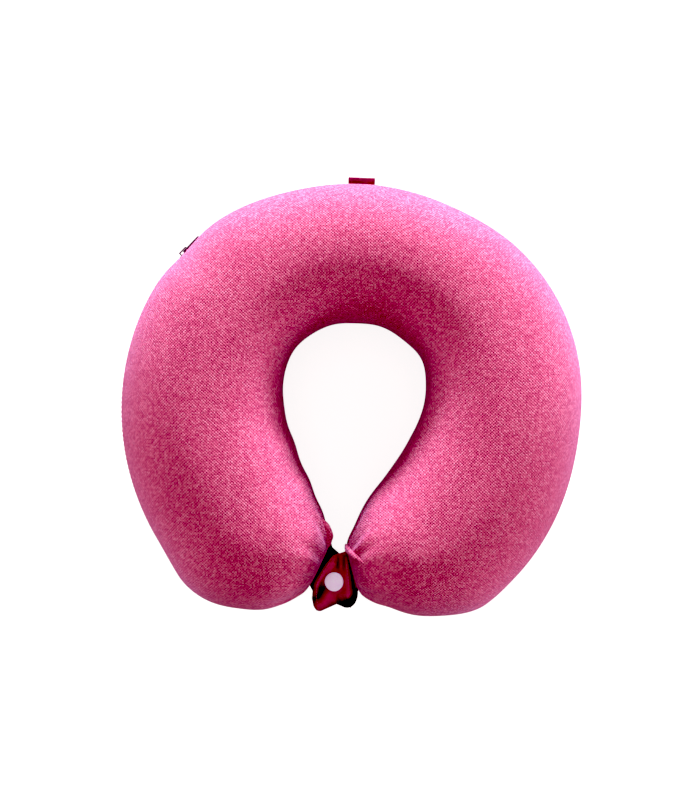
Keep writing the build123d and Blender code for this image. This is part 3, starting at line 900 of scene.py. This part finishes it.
tab_front, front_points = tab_mesh(
    "front_tab",
    [(4.8, -87.0), (8.6, -97.0), (12.6, -108.0), (15.9, -117.0)],
    [(5.2, -92.0), (8.0, -101.2), (10.0, -108.5), (12.4, -121.8)],
    [(-2.6, -95.2), (-8.4, -104.5), (-13.0, -115.0), (-13.4, -122.0), (-10.6, -135.0)],
    front_heights,
    tab_mat,
)
tab_rear, _ = tab_mesh(
    "rear_tab",
    [(-4.8, -87.0), (-8.6, -97.0), (-12.6, -108.0), (-15.9, -117.0)],
    [(-3.6, -90.5), (-7.6, -101.2), (-11.0, -110.5), (-12.6, -122.0)],
    [(3.0, -95.2), (9.2, -104.0), (15.4, -113.6), (16.4, -120.5), (13.0, -131.0)],
    rear_heights,
    rear_shadow_mat,
)
for obj, node, arm, strap, joint, sign in [
    (tab_front, "tab_front", "right_half", "front_strap", "front_tab_lift", 1),
    (tab_rear, "tab_rear", "left_half", "rear_strap", "rear_tab_drop", -1),
]:
    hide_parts(node)
    bend_beside_arm(obj, arm, strap, joint, sign)


def press_cap(name, centre, radius, tilt, sides=56):
    """A cap with a rounded rim and a slight dome, on its rivet."""
    profile = [(0.25 * radius * k, CAP_T - drop) for k, drop in enumerate([0, 0.02, 0.08, 0.2])]
    for k in range(1, 7):
        a = k * math.pi / 12
        profile.append((radius - CAP_ROUND + CAP_ROUND * math.sin(a), CAP_T - 1.0 + 0.72 * math.cos(a)))
    profile += [(radius, 0.35), (radius - 0.25, 0.0), (RIVET_R, 0.0)]
    profile += [(RIVET_R, -RIVET_LENGTH), (0, -RIVET_LENGTH)]
    angles = [2 * math.pi * k / sides for k in range(sides)]
    verts = np.array([(r * math.cos(a), r * math.sin(a), z) for r, z in profile for a in angles])
    verts = verts @ np.array(Matrix.Rotation(tilt, 3, "Y")).T + centre
    obj = new_mesh(name, verts, quads(len(profile), sides, wrap=True), snap_mat)
    bpy.context.view_layer.objects.active = obj
    merge = obj.modifiers.new("merge", "WELD")
    merge.merge_threshold = 1e-6
    with bpy.context.temp_override(object=obj, active_object=obj, selected_objects=[obj]):
        bpy.ops.object.modifier_apply(modifier="merge")
    return obj


cap_at = np.array([SNAP[0], SNAP[1], CAP_LOW.z / MM + 2.7])
cap_front = press_cap("press_cap", cap_at, (CAP_HIGH.x - CAP_LOW.x) / MM / 2, -math.radians(7))
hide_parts("snap_cap_front")
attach(cap_front, "front_strap")

parts = []
for column in (15, 54):
    line = front_points[10:64, column]
    lift = np.full_like(line, [0, 0, 0.16])
    parts += row_of_stitches(line, lift, 0.4, 1.3, 2.0, 1.3, 0.26)
verts, faces = gather(parts)
tab_thread = new_mesh("front_tab_stitches", verts, faces, tab_thread_mat, {"weave": verts * MM})
bend_beside_arm(tab_thread, "right_half", "front_strap", "front_tab_lift", 1)


# ---------------------------------------------------------------- hang loop
LOOP_BEARING = math.radians(-3.6)
LOOP_OUT = np.array([math.sin(LOOP_BEARING), math.cos(LOOP_BEARING)])
LOOP_REACH = OUTER_R + 2.9
LOOP_HALF_W = 8.7
LOOP_HALF_T = 0.85  # half the height of the fold at its end
RIBBON_T = 0.7


def ribbon_loop(name):
    """A ribbon out of the seam, round its fold and back into the seam."""
    r_end = LOOP_REACH - LOOP_HALF_T
    run_out = np.linspace(OUTER_R - 2.5, r_end, 16)
    turn = np.linspace(np.pi / 2, -np.pi / 2, 12)[1:-1]
    r_line = np.concatenate([run_out, r_end + LOOP_HALF_T * np.cos(turn), run_out[::-1]])
    straight = np.full(len(run_out), LOOP_HALF_T)
    z_line = np.concatenate([straight, LOOP_HALF_T * np.sin(turn), -straight])
    pinch = smooth(r_line, OUTER_R - 2.5, OUTER_R + 1)
    z_line = z_line * (0.35 + 0.65 * pinch)
    width = np.linspace(-LOOP_HALF_W, LOOP_HALF_W, 34)
    side = np.array([-LOOP_OUT[1], LOOP_OUT[0]])
    p = np.empty((len(r_line), len(width), 3))
    p[..., :2] = CENTRE[:2] + LOOP_OUT * r_line[:, None, None] + side * width[None, :, None]
    p[..., 2] = SEAM_Z + z_line[:, None] + 0.25 * np.sin(width * 0.7)[None, :] * pinch[:, None]
    outward = np.zeros_like(p)
    outward[..., 2] = z_line[:, None]
    outward[..., :2] = LOOP_OUT * 0.4
    verts, faces = thick_grid(p, RIBBON_T, outward)
    weave = np.zeros_like(p)
    weave[..., 0] = width
    weave[..., 1] = distances(np.stack([r_line, z_line], -1))[:, None]
    return new_mesh(name, verts, faces, loop_mat, both_sides(weave))


loop = ribbon_loop("loop_ribbon")
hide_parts("hang_loop")
loop_out = Vector((*LOOP_OUT, 0))
pivot = Vector(joints["loop_bend"]["pos_m"])
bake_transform(loop, "left_half", "back_loop", pivot - loop_out * 2.6 * MM, pivot + loop_out * 0.6 * MM)


# ---------------------------------------------------------------- floor, light and camera
floor_shader = Shader("floor")
floor_shader.set(Base_Color=(0.42, 0.42, 0.42, 1), Roughness=0.9, Specular_IOR_Level=0.0)
floor_shader.set(Emission_Color=(1, 1, 1, 1))
seen = floor_shader.node("ShaderNodeLightPath").outputs["Is Camera Ray"]
floor_shader.link(floor_shader.math("MULTIPLY_ADD", seen, 0.82, 0.05), "Emission Strength")
FLOOR_HALF = 3000
corners = [(-1, -1, 0), (1, -1, 0), (1, 1, 0), (-1, 1, 0)]
floor = new_mesh("floor", np.array(corners) * FLOOR_HALF, [(0, 1, 2, 3)], floor_shader.material)

world = bpy.data.worlds.new("studio")
world.use_nodes = True
background = world.node_tree.nodes["Background"]
background.inputs["Color"].default_value = (1.0, 0.72, 0.66, 1)
background.inputs["Strength"].default_value = 0.46
scene.world = world


def area_light(name, place, target, size, power, colour):
    """A soft rectangular lamp, in metres, that points at its target."""
    data = bpy.data.lights.new(name, "AREA")
    data.shape = "RECTANGLE"
    data.size, data.size_y = size
    data.energy = power
    data.color = colour
    obj = bpy.data.objects.new(name, data)
    obj.location = place
    obj.rotation_euler = (Vector(target) - Vector(place)).to_track_quat("-Z", "Y").to_euler()
    scene.collection.objects.link(obj)


area_light("key", (0.1, 2.2, 0.42), (0, 0.05, 0.07), (1.4, 0.3), 185, (0.78, 0.84, 1.0))
area_light("left", (-2.0, 0.5, 0.45), (0, 0, 0.06), (1.0, 0.4), 34, (0.8, 0.85, 1.0))
area_light("right", (2.0, 0.2, 0.45), (0, 0, 0.06), (1.0, 0.4), 40, (0.8, 0.85, 1.0))
area_light("front", (0.5, -2.2, 0.4), (0, 0, 0.06), (1.4, 0.3), 10, (0.85, 0.9, 1.0))
area_light("top", (-0.1, 0.2, 1.9), (0, 0, 0.05), (1.2, 1.2), 5, (0.95, 0.92, 1.0))

camera_data = bpy.data.cameras.new("camera")
camera_data.sensor_width = 36
camera_data.lens = 102.6
camera = bpy.data.objects.new("camera", camera_data)
scene.collection.objects.link(camera)
CAMERA_TURN = math.radians(6.0)
CAMERA_HEIGHT = 1.5  # above the seam
up = Vector((-math.sin(CAMERA_TURN), math.cos(CAMERA_TURN), 0))
back = Vector((0, 0, 1))
right = up.cross(back)
place = Vector((-0.0021, -0.0058, SEAM_Z * MM + CAMERA_HEIGHT))
camera.matrix_world = Matrix([(right[k], up[k], back[k], place[k]) for k in range(3)] + [(0, 0, 0, 1)])
scene.camera = camera
scene.view_settings.view_transform = "Standard"
scene.view_settings.use_curve_mapping = True
scene.view_settings.curve_mapping.black_level = (0.05, 0.055, 0.05)
scene.view_settings.curve_mapping.update()
